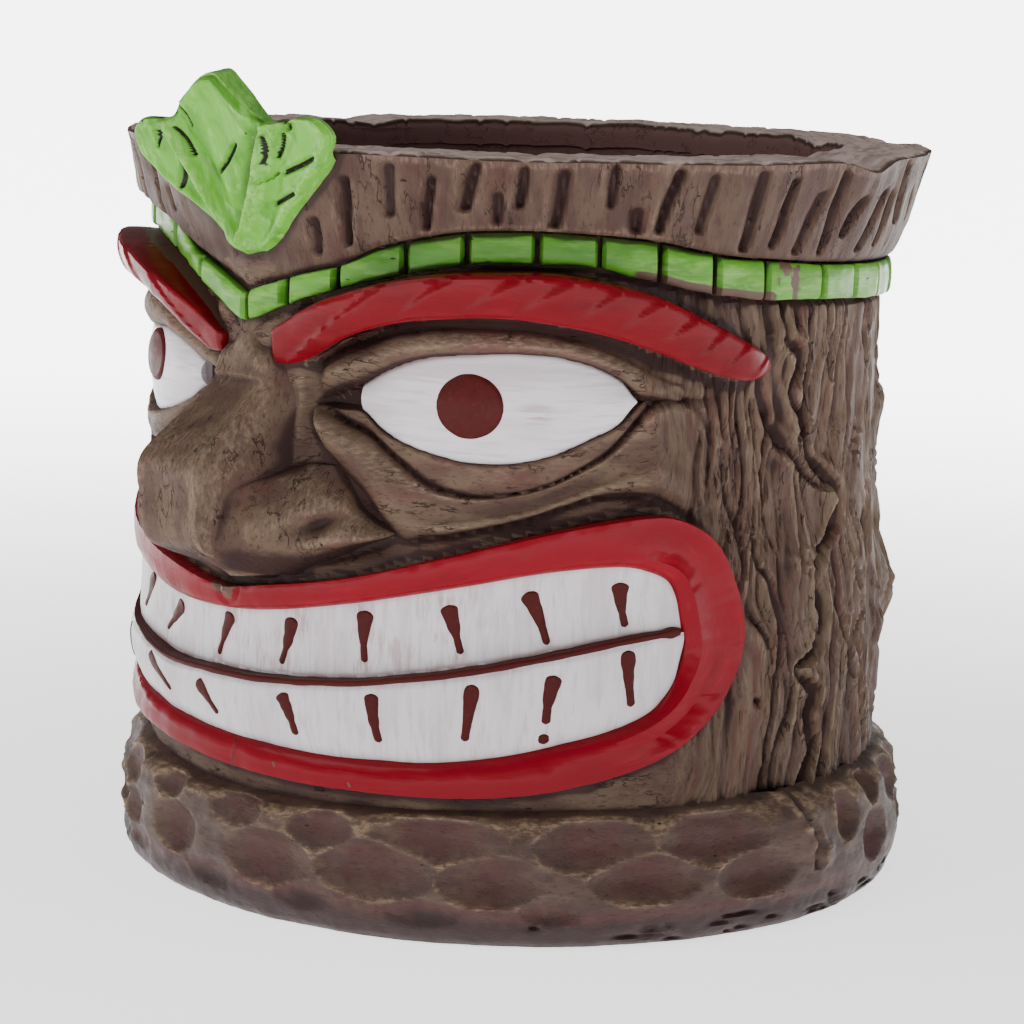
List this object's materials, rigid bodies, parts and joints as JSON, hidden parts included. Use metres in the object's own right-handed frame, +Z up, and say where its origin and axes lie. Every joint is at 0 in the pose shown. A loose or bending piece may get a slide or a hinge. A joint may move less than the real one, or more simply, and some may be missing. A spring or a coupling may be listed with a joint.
{
  "type": "tiki mug",
  "caption": "Cup carved as a hollow log with a broad grinning face, a flared bark rim, a leaf crest and a green headband, standing on a hammered round plinth.",
  "frame": {"origin": "centre of the base, on the table, on the axis of the cup", "axes": "+Z up along the cup's axis, -Y to the face, +X to the viewer's right when facing the face"},
  "size_m": [0.116, 0.1263, 0.114],
  "materials": {
    "bark": "satin painted casting: grey-brown bark with red-brown recesses and an olive dry-brushed bloom on the high spots",
    "plinth": "satin painted casting: the bark paint over hammered oval dimples",
    "band_green": "satin mid-green paint with paler dry-brushed edges",
    "leaf_green": "satin yellow-green paint with darker creases",
    "red": "satin-gloss crimson paint with faint brush strokes",
    "white": "satin off-white paint with brush streaks and warm stains",
    "brown": "satin chocolate red-brown paint"
  },
  "bodies": {
    "root": {"trunk_cup": "bark", "crown_collar": "bark", "root_plinth": "plinth", "headband_blocks": "band_green", "leaf_crest": "leaf_green", "brow_left": "red", "brow_right": "red", "upper_eyelid_left": "bark", "upper_eyelid_right": "bark", "lower_eyelid_left": "bark", "lower_eyelid_right": "bark", "eyeball_left": "white", "eyeball_right": "white", "pupil_left": "brown", "pupil_right": "brown", "cheek_left": "bark", "cheek_right": "bark", "nose_bridge": "bark", "nose_wing_left": "bark", "nose_wing_right": "bark", "lips": "red", "upper_teeth": "white", "lower_teeth": "white", "upper_tooth_gaps": "brown", "lower_tooth_gaps": "brown", "bite_line": "brown"}
  },
  "joints": []
}
